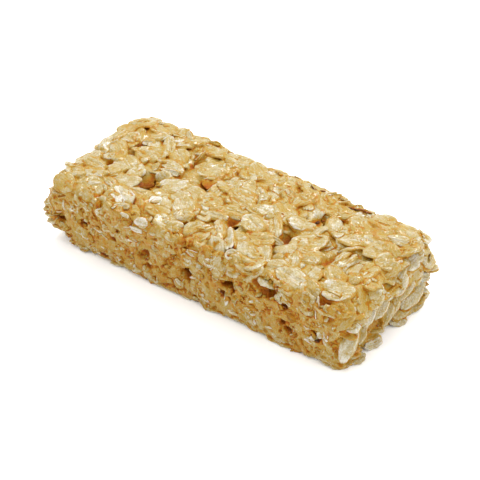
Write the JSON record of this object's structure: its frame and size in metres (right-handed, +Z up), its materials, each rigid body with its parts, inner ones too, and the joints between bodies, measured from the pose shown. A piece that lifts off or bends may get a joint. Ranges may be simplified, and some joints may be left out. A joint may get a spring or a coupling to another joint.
{
  "type": "granola bar",
  "caption": "Rectangular granola bar of pressed rolled oat flakes bound with golden syrup, with cut long sides and torn ends.",
  "frame": {"origin": "middle of the bounding box at the flat underside that the bar rests on", "axes": "+X along the bar towards the torn end with the sloping flakes, +Y across the bar, +Z up from the underside"},
  "size_m": [0.101, 0.0428, 0.0204],
  "materials": {
    "oats_and_syrup": "toasted oat flakes in golden syrup: cream to amber, satin, with small glossy places"
  },
  "bodies": {
    "root": {"bar": "oats_and_syrup"}
  },
  "joints": []
}
